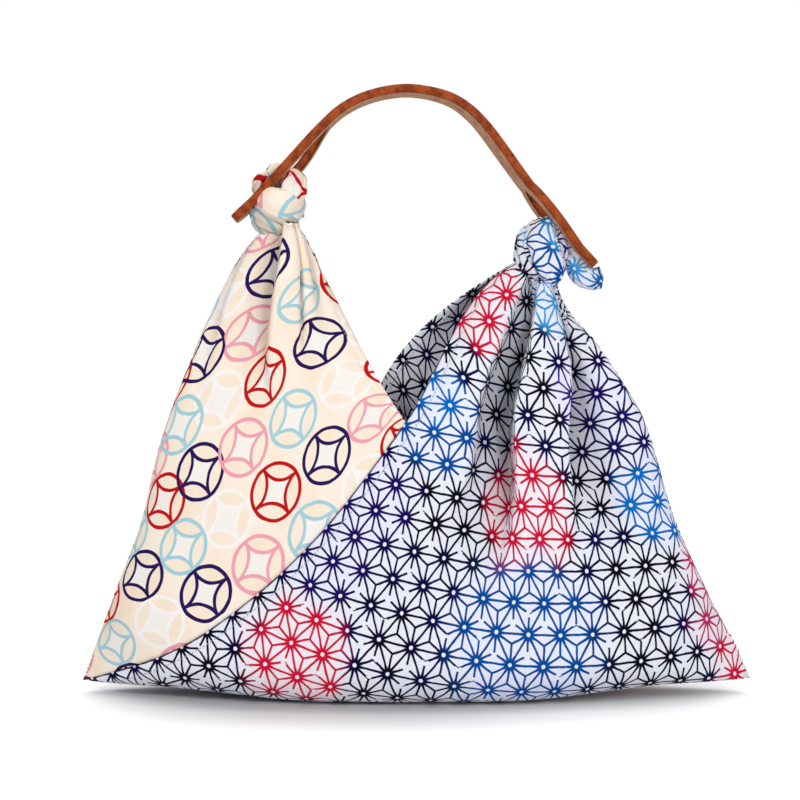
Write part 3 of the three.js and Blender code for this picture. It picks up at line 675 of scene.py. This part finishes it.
def mesh_piece(name, points, faces, uv, materials, picks, shade=None):
    """A smooth mesh in the frame, from points in millimetres about the bag's own middle plane. picks says which
    material each face has."""
    mesh = bpy.data.meshes.new(name)
    mesh.from_pydata(((points + SHIFT) / 1000).tolist(), [], [list(map(int, f)) for f in faces])
    mesh.update()
    loops = np.array([loop.vertex_index for loop in mesh.loops])
    mesh.uv_layers.new(name="cloth").data.foreach_set("uv", uv.astype(np.float32)[loops].ravel())
    if shade is not None:
        mesh.attributes.new("shade", "FLOAT", "POINT").data.foreach_set("value", shade.astype(np.float32))
    mesh.polygons.foreach_set("use_smooth", [True] * len(mesh.polygons))
    for material in materials:
        mesh.materials.append(material)
    mesh.polygons.foreach_set("material_index", picks)
    piece = new_object(name, mesh)
    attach(piece, "root")
    return piece


def panel(first, last, dip):
    """One panel of the strip, from one width line to another. dip turns its sewn edges under a little."""
    columns = slice(first * FINE, last * FINE + 1)
    along, over = fine_along[columns], fine_over[columns]
    p = cloth[columns] - grid_normals(cloth)[columns] * dip(along, over)[..., None]
    keep = ~in_knot(place[columns][..., 0], place[columns][..., 1], -9.0)
    index = np.arange(along.size).reshape(along.shape)
    quads, kept = (np.stack([a[:-1, :-1], a[1:, :-1], a[1:, 1:], a[:-1, 1:]], -1) for a in (index, keep))
    quads = quads[kept.all(-1)]
    used, faces = np.unique(quads, return_inverse=True)
    uv = np.stack([along.ravel(), over.ravel()], -1)[used]
    return p.reshape(-1, 3)[used], list(faces.reshape(quads.shape)), uv, depth[columns].ravel()[used]


def join(parts):
    """Several sets of points, faces, cloth coordinates and shades as one."""
    bases = np.cumsum([0] + [len(part[0]) for part in parts])
    faces = [np.array(face) + base for part, base in zip(parts, bases) for face in part[1]]
    points, uv, shade = (np.concatenate([part[k] for part in parts]) for k in (0, 2, 3))
    return points, faces, uv, shade


def cloth_piece(name, parts, materials):
    """A panel and its knot, which are one piece of cloth."""
    points, faces, uv, shade = join(parts)
    picks = np.repeat(range(len(parts)), [len(part[1]) for part in parts])
    piece = mesh_piece(name, points, faces, uv, materials, picks, shade)
    solid = piece.modifiers.new("thickness", "SOLIDIFY")
    solid.thickness, solid.offset = CLOTH_THICK / 1000, 0
    return piece


# Outwards is the way of the normals of the strip's grid, or against it.
OUT = np.sign((grid_normals(hung)[20, 20] * (hung[20, 20] - np.array([-70, 0, 100]))).sum())
SEAM_REACH = 3.2  # how far from a seam the cloth starts to turn under


def shippo_dip(along, over):
    seam = np.minimum(over, WIDTH - along)
    return OUT * 0.9 * (1 - smooth(0, SEAM_REACH, seam)) ** 2


def asanoha_dip(along, over):
    front = np.where(along < 2 * WIDTH, over, np.inf)
    seam = np.minimum(np.minimum(front, along - WIDTH), WIDTH - over)
    return OUT * 0.6 * (1 - smooth(0, SEAM_REACH, seam)) ** 2


# ---- The knots


def curve_points(points, count):
    """Points evenly spaced along a smooth curve through the given ones."""
    p = np.array(points, float)
    p = np.concatenate([2 * p[:1] - p[1:2], p, 2 * p[-1:] - p[-2:-1]])
    out = []
    for a, b, c, d in zip(p[:-3], p[1:-2], p[2:-1], p[3:]):
        t = np.linspace(0, 1, 24, endpoint=False)[:, None]
        out.append(0.5 * (2 * b + (c - a) * t + (2 * a - 5 * b + 4 * c - d) * t**2 + (3 * b - a - 3 * c + d) * t**3))
    out = np.concatenate(out + [p[-2:-1]])
    run = np.concatenate([[0], np.cumsum(np.linalg.norm(np.diff(out, axis=0), axis=1))])
    at = np.linspace(0, run[-1], count)
    return np.stack([np.interp(at, run, out[:, k]) for k in range(3)], -1), at


def square_to(along, v):
    return unit(v - along * (v * along).sum(-1, keepdims=True))


# How much of its rise a lobe's outward side keeps, over which share of its length its ends draw in, how far its end
# caps stand out, how much painted shade darkens its grooves, and how fine its mesh is round it and along it.
LOBE = dict(rise=0.35, drawn_in=0.22, cap=0.18, shade=14, ring=56, every=0.9)


def lobe(points, wide, thick, pleats, seed, middle, start, ends=(0.7, 0.7), crisp=0.0, dark=0.0):
    """A stretch of gathered cloth on a line from point to point: flat towards the knot's middle, pleated lengthwise,
    and drawn in at its ends. pleats are how many there are round it and how deep, and dark is painted shade over the
    whole lobe. Gives its points, faces, cloth coordinates from start on, and shades: painted shade in its grooves and
    by dark."""
    length = np.linalg.norm(np.diff(np.array(points, float), axis=0), axis=1).sum()
    ring, count = LOBE["ring"], max(12, int(length / LOBE["every"]))
    line, at = curve_points(points, count)
    t = np.linspace(0, 1, count)
    along = unit(np.gradient(line, axis=0))
    outward = line - np.array(middle, float)
    outward[:, 2] *= LOBE["rise"]
    outward = square_to(along, outward)
    for _ in range(6):
        outward[1:-1] = unit(outward[1:-1] + outward[:-2] + outward[2:])
    outward = square_to(along, outward)
    sideways = np.cross(along, outward)
    turn = np.linspace(0, 2 * math.pi, ring, endpoint=False)
    shape = np.cos(turn), np.abs(np.sin(turn)) ** (0.9 + crisp) * np.sign(np.sin(turn))
    swell = np.minimum(*(lerp(end, 1, smooth(0, LOBE["drawn_in"], way)) for end, way in zip(ends, (t, 1 - t))))
    rng = np.random.default_rng(seed)
    ripple = np.zeros((count, ring))
    for k, amount in pleats.items():
        phase = rng.uniform(0, 2 * math.pi)
        drift = rng.uniform(-1.2, 1.2)
        ripple += amount * np.sin(k * turn[None] + phase + drift * (t[:, None] - 0.5) * 2)
    # The pleats are deepest at the ends, and their grooves deeper than their ridges are high.
    ripple *= (0.55 + 0.75 * np.abs(2 * t - 1))[:, None]
    ripple = ripple - np.abs(ripple) * 0.25
    skin = line[:, None]
    for way, size, part in ((sideways, wide, shape[0]), (outward, thick, shape[1])):
        skin = skin + way[:, None] * (size / 2 * swell[:, None] * part[None] * (1 + ripple))[..., None]
    around = (wide + thick) / 2 * 0.95
    u, v = np.broadcast_arrays(start[0] + at[:, None], start[1] + (np.abs(turn - math.pi) * around / 2)[None])
    tips = [line[row] + along[row] * way * thick * LOBE["cap"] for row, way in ((0, -1), (-1, 1))]
    index = np.arange(count * ring).reshape(count, ring)
    turned = np.roll(index, -1, 1)
    faces = list(np.stack([index[:-1], turned[:-1], turned[1:], index[1:]], -1).reshape(-1, 4))
    for i in range(ring):
        faces += [(turned[0, i], index[0, i], count * ring), (index[-1, i], turned[-1, i], count * ring + 1)]
    uv = np.concatenate([np.stack([u, v], -1).reshape(-1, 2), [start, (start[0] + at[-1], start[1])]])
    # Painted shade: the grooves of the pleats are darkened, and the whole lobe by dark where other lobes shade it.
    shade = dark + LOBE["shade"] * np.append((ripple - 0.12 * np.abs(ripple)).ravel(), [0, 0])
    return np.concatenate([skin.reshape(-1, 3), tips]), faces, uv, shade


def knot(horn, lobes):
    """All the lobes of one knot, from its neck's middle, a little crumpled."""
    noise.seed_set(1)  # without a seed of its own the noise differs from run to run
    parts = []
    for *settings, more in lobes:
        p, *rest = lobe(*settings, **more)
        p = p + np.array(HORNS[horn]["neck"])
        for scale, amount in ((0.10, 0.8), (0.25, 0.35)):
            p = p + np.array([noise.noise_vector(Vector(q * scale)) for q in p]) * amount
        parts.append((p, *rest))
    return join(parts)


# For each lobe: its points, width, thickness, pleats, seed, middle and start, and what else there is to it. dark there
# is painted shade, for lobes that lie in the knot's shadow.
LEFT_KNOT = [
    ([(-1.5, 0, -13), (-1.5, -0.5, -4), (-1, 0, 5), (0, 1, 14)],
     16, 15, {9: 0.09, 14: 0.06}, 2, (0, 9, 0), (40, 150), dict(dark=-9)),
    ([(4.5, 8, 12), (6.8, 2, 11.6), (6, -6, 11.6), (1.5, -10.5, 12), (-4, -11.5, 13), (-9.5, -9, 14.5),
      (-12.5, -2, 15.6), (-11, 7, 15), (-4, 11, 12), (3, 11, 11)],
     15.5, 8, {3: 0.05, 7: 0.035, 13: 0.02}, 5, (0, 0, 12), (6, 74), dict(crisp=0.55)),
    ([(3, -6, 13), (4.3, -8.5, 18.5), (4.8, -7, 24), (3.8, -2, 27), (0, 4, 26.5), (-2, 9, 21)],
     12.5, 8, {3: 0.07, 5: 0.05, 8: 0.05}, 8, (3, 3, 14), (38, 52), dict(crisp=0.35, dark=-1.5)),
    ([(-1, -5, -1.0), (-6, -8.0, 1.5), (-12, -7.0, 4.5), (-15, -1, 8.5), (-13, 6, 12)],
     12.5, 7.5, {5: 0.10, 9: 0.12, 15: 0.05}, 11, (0, 0, 6), (23, 34), dict(dark=-9.5)),
    ([(7, 6, 8), (5, 11, 12), (-3, 12.5, 17), (-11, 9, 20), (-14.5, 3, 23.5), (-11, 1, 27), (-5, 4, 25)],
     9.5, 7, {5: 0.10, 8: 0.08}, 12, (-3, 3, 16), (90, 30), dict(crisp=0.2, dark=-4)),
    ([(-8, 5, 24), (-8, 2, 30), (-4.5, 1.5, 32.5), (-1.5, 4, 29), (-1, 7, 24)],
     5.5, 4, {3: 0.08}, 14, (-4, 6, 24), (14, 62), {}),
]
RIGHT_KNOT = [
    ([(0, 0, -12), (0, -0.5, -3), (0, 0, 6), (0, 1, 15)],
     15, 14, {9: 0.09, 14: 0.06}, 20, (0, 9, 0), (0, 0), dict(dark=-9)),
    ([(6, -2, 1.5), (5, -7.5, 6), (2.8, -10.3, 12), (0.8, -10.5, 19), (-0.6, -7.5, 26), (-1, -1, 31),
      (1.5, 5, 30), (4, 10.5, 23), (3, 12, 14)],
     15.5, 8, {4: 0.07, 9: 0.05, 14: 0.02}, 23, (1, 1, 16), (0, 0), dict(crisp=0.45)),
    ([(-4, 4, 29), (-8.5, -1, 26), (-10.5, -4.5, 20), (-9.5, -6, 13.5), (-6, -5.5, 8), (-2, -4, 3)],
     9, 8, {6: 0.14, 10: 0.10, 15: 0.05}, 25, (0, 0, 15), (30, 40), dict(dark=-4)),
    ([(8, -3, 15), (8, -6.5, 10), (6, -7.5, 5), (2.5, -5, 0)],
     9, 7, {5: 0.10, 9: 0.07}, 27, (0, 0, 9), (60, 20), dict(crisp=0.2)),
    ([(6, -2, 27), (9.5, -2.5, 22), (10.5, -2, 15.5), (8.5, 0, 9)],
     8, 7, {6: 0.12, 10: 0.08}, 29, (2, 2, 16), (90, 50), dict(dark=-6)),
    ([(8, 6, 6), (11, 7, 14), (8, 9, 22), (0, 10.5, 25), (-7, 8.5, 21), (-9, 7, 13), (-4, 9, 6)],
     12, 8, {5: 0.08, 9: 0.06}, 30, (0, 0, 15), (35, 90), {}),
    ([(6, 7, 22), (11.5, 6.5, 20), (16.5, 5, 14.5), (20.5, 3.5, 7.5), (26, 2.5, 3.2), (32, 2, 3.8)],
     11, 9.5, {4: 0.08, 7: 0.07, 12: 0.04}, 31, (24, 10, 20), (15, 80), dict(ends=(0.7, 1.0))),
]
shippo_sheet = cloth_piece(
    "shippo_cloth", [panel(0, 1, shippo_dip), knot("left", LEFT_KNOT)],
    [
        shippo("shippo cotton", box=((0.0, -30.0), (WIDTH + 30, WIDTH))),
        shippo("shippo cotton of the knot", offset=(6.0, 9.0), scale=1.3),
    ],
)
asanoha_sheet = cloth_piece(
    "asanoha_cloth", [panel(1, 3, asanoha_dip), knot("right", RIGHT_KNOT)],
    [
        asanoha("asanoha cotton", PATCHES, box=((WIDTH - 30, 0.0), (3 * WIDTH, WIDTH))),
        asanoha("asanoha cotton of the knot", KNOT_PATCHES, scale=1.3),
    ],
)

# ---- The strap

# twist is in degrees, at shares of the strap's length. follows is how far the outer edges go with a slit's halves, and
# crown is how far they stand out.
STRAP = dict(
    width=18.0, thick=4.7, steps=220, rounding=1.0, crown=0.15, follows=0.9,
    twist=((0, 0.2, 0.32, 0.5, 0.68, 0.8, 1), (0, 1, 3, 3, 11, 9, 0)),
)
STRAP_ROUTE = [
    (-96.5, 256), (-88, 263.5), (-80, 271), (-68, 282.5), (-59.5, 292), (-51.5, 302), (-42, 312), (-31.5, 318.5),
    (-20.5, 322.5), (-3, 325), (16, 321.5), (25, 317), (35, 308), (46, 293.5), (56.5, 279), (67, 265.5), (78, 252),
    (88.5, 240), (97, 231.5),
]
# From where to where, how far each half moves sideways, how far they bow out, and how long they stay apart.
SLITS = [
    dict(low=0.05, high=0.275, apart=6.0, front=0.9, back=-3.0, ease=1.25),
    dict(low=0.79, high=0.95, apart=6.0, front=0.5, back=-0.9, ease=0.8),
]
TIP = dict(length=0.03, share=0.45)  # how long the rounding of an end is, and how wide the end is


def leather(name, colour, dark, light, grain, rough, edge=False):
    """Vegetable tanned leather, mottled and with pores. Its cut edge has layers and dark borders."""
    n = new_material(name)
    mm = n.vector("MULTIPLY", n.add("TexCoord", output="Object"), (1000.0, 1000.0, 1000.0))
    fine = n.noise(mm, 2.6, 4.0)
    pores = n.value("TexVoronoi", {"Vector": mm, "Scale": grain}, feature="DISTANCE_TO_EDGE")
    tint = n.mix(n.step(0.35, 0.7, n.noise(mm, 0.22, 5.0)), colour, dark)
    tint = n.mix(n.step(0.5, 0.85, fine, (0.0, 0.6)), tint, light)
    tint = n.mix(n.step(0.66, 0.74, n.noise(mm, 0.9, 3.0), (0.0, 0.7)), tint, dark)
    tall = n.step(0.0, 0.12, pores) * 0.06 + fine * 0.10
    if edge:
        layers = n.math("SINE", n.noise(n.vector("MULTIPLY", mm, (0.3, 0.3, 0.3)), 2.0, 3.0) * 30.0)
        tall = tall + layers * 0.03
        # The second of the strap's coordinates counts the corners round it.
        row = n.split(n.add("UVMap", uv_map="cloth"))[1]
        border = n.math("MINIMUM", abs(row - 1.0), abs(row - 7.0))
        tint = n.mix(n.step(1.1, 0.3, border, (0.0, 0.75)), tint, rgb(66, 26, 12))
    return n.finish(n.surface(tint, rough, tall, 0.6, Specular_IOR_Level=0.1))


grain_side = leather("strap leather grain side", rgb(152, 64, 24), rgb(104, 38, 12), rgb(180, 86, 38), 1.6, 0.42)
edge_side = leather("strap leather edge", rgb(168, 76, 30), rgb(116, 46, 16), rgb(192, 98, 46), 3.0, 0.38, True)
flesh_side = leather("strap leather flesh side", rgb(206, 160, 128), rgb(178, 128, 98), rgb(226, 186, 158), 3.2, 0.85)


def strap():
    """The strap as one closed piece: two halves side by side that part at the slits."""
    line, at = curve_points([(x, 0, z) for x, z in STRAP_ROUTE], STRAP["steps"] + 1)
    for _ in range(40):
        line[1:-1] = (line[:-2] + 2 * line[1:-1] + line[2:]) / 4
    share = at / at[-1]
    along, sideways = unit(np.gradient(line, axis=0)), np.array([0.0, 1.0, 0.0])
    out = np.stack([-along[:, 2], 0 * share, along[:, 0]], -1)
    twist = np.radians(np.interp(share, *STRAP["twist"]))[:, None]
    twist = blur(np.repeat(twist, 2, 1), 60)[:, :1]
    across = sideways * np.cos(twist) - out * np.sin(twist)
    out = out * np.cos(twist) + sideways * np.sin(twist)
    thick, rounding = STRAP["thick"] / 2, STRAP["rounding"]
    points, faces, uvs, picks = [], [], [], []
    for face in (-1, 1):
        apart, shift = np.zeros((2, len(share)))
        for slit in SLITS:
            within = np.clip((share - slit["low"]) / (slit["high"] - slit["low"]), 0, 1)
            spread = np.sin(math.pi * within) ** slit["ease"]
            apart += slit["apart"] * spread
            shift += slit["front" if face < 0 else "back"] * spread
        tip = np.minimum(1, np.minimum(share, 1 - share) / TIP["length"])
        half = STRAP["width"] / 2 * lerp(TIP["share"], 1, np.sqrt(tip * (2 - tip)))
        centre = line + out * shift[:, None]
        outer = apart * STRAP["follows"] + half
        bend = np.radians(np.linspace(-90, 90, 7))

        def corner(angle, level):
            y = outer - rounding + rounding * math.cos(angle)
            return y, np.full_like(outer, level + rounding * math.sin(angle))

        section = [
            (apart, np.full_like(apart, -thick)), *(corner(angle, rounding - thick) for angle in bend[:3]),
            (outer + STRAP["crown"], 0 * outer), *(corner(angle, thick - rounding) for angle in bend[4:]),
            (apart, np.full_like(apart, thick)),
        ]
        # The side that faces the hand's palm is the flesh side, so the section runs from it to the grain side.
        ring = np.stack([centre + across * face * y[:, None] + out * n[:, None] for y, n in section], 1)
        base, size = sum(map(len, points)), len(section)
        points.append(ring.reshape(-1, 3))
        uvs.append(np.stack([np.repeat(at, size), np.tile(np.arange(size), len(at))], -1))
        index = np.arange(len(at) * size).reshape(len(at), size) + base
        for i in range(len(at) - 1):
            for j in range(size):
                k = (j + 1) % size
                if k == 0 and apart[i] < 1e-6 and apart[i + 1] < 1e-6:
                    continue
                quad = (index[i, j], index[i, k], index[i + 1, k], index[i + 1, j])
                faces.append(quad if face < 0 else quad[::-1])
                picks.append(2 if j == 0 else 0 if k == size - 1 else 1)
        for row in (0, len(at) - 1):
            cap = tuple(index[row])
            faces.append(cap[::-1] if (row == 0) == (face < 0) else cap)
            picks.append(1)
    sides = [grain_side, edge_side, flesh_side]
    piece = mesh_piece("strap", np.concatenate(points), faces, np.concatenate(uvs), sides, picks)
    made = bmesh.new()
    made.from_mesh(piece.data)
    bmesh.ops.remove_doubles(made, verts=made.verts, dist=1e-6)
    bmesh.ops.recalc_face_normals(made, faces=made.faces)
    made.to_mesh(piece.data)
    made.free()
    piece.data.set_sharp_from_angle(angle=math.radians(50))
    return piece


strap_piece = strap()

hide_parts("shippo_panel")
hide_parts("asanoha_panel")
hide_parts("leather_strap")

# ---- The room


def stage():
    """A floor that is white where light reaches it freely and darkens close round the bag, and a plain bright room."""
    n = new_material("floor")
    place = n.add("TexCoord", output="Object")
    far = n.step(0.25, 0.6, n.value("VectorMath", {0: place}, "Value", operation="LENGTH"))
    open_sky = n.value("AmbientOcclusion", {"Distance": 0.07}, "AO", samples=16)
    # Painted shadow: the floor's glow follows how open it is to the sky, raised to a higher power just left of the
    # bag's middle, so the shadow is deepest there and lighter towards the ends.
    side = abs(n.split(place)[0] + 0.05)
    open_sky = n.math("MAXIMUM", n.math("POWER", open_sky, n.step(0.02, 0.15, side, (3.0, 1.2))), far)
    soft = n.add("BsdfDiffuse", {"Color": rgb(235, 235, 237)})
    bright = n.add("BsdfDiffuse", {"Color": (0.55, 0.55, 0.55, 1)})
    glow = n.add("Emission", {"Color": (1, 1, 1, 1), "Strength": open_sky * 0.72 + far * 0.4})
    both = n.add("AddShader", {0: bright, 1: glow})
    seen = n.add("LightPath", output="Is Camera Ray")
    material = n.finish(n.add("MixShader", {0: seen, 1: soft, 2: both}))
    mesh = bpy.data.meshes.new("floor")
    s = 12.0
    mesh.from_pydata([(-s, -s, 0), (s, -s, 0), (s, s, 0), (-s, s, 0)], [], [(0, 1, 2, 3)])
    mesh.materials.append(material)
    new_object("floor", mesh)

    n = Nodes(bpy.data.worlds.new("room"))
    rays = n.add("LightPath").node.outputs
    seen = n.math("MAXIMUM", rays["Is Camera Ray"], rays["Is Glossy Ray"])
    pale = n.add("Background", {0: (0.97, 0.985, 1.0, 1), 1: 0.34})
    white = n.add("Background", {0: (1, 1, 1, 1), 1: 1.0})
    bpy.context.scene.world = n.finish(n.add("MixShader", {0: seen, 1: pale, 2: white}))


def put_in_room(name, data, place, aim):
    """Something that looks from one point to another."""
    holder = new_object(name, data)
    holder.location = place
    holder.rotation_euler = (Vector(aim) - Vector(place)).to_track_quat("-Z", "Y").to_euler()
    return holder


def lamp(name, place, aim, power, size):
    light = bpy.data.lights.new(name, "AREA")
    light.energy, light.size = power, size
    put_in_room(name, light, place, aim)


stage()
lamp("key", (-0.75, -1.25, 1.0), (0, 0, 0.14), 9.4, 0.45)
lamp("front", (0.75, -1.35, 0.65), (0, 0, 0.12), 8.9, 0.6)
lamp("top", (0.1, 0.4, 1.3), (0, 0, 0.1), 8.0, 0.8)

camera = bpy.data.cameras.new("camera")
camera.sensor_width, camera.lens = 36.0, 81.4
bpy.context.scene.camera = put_in_room("camera", camera, (-0.00783, -0.96715, 0.210), (-0.00783, 0.00785, 0.159))
bpy.context.scene.view_settings.view_transform = "Standard"
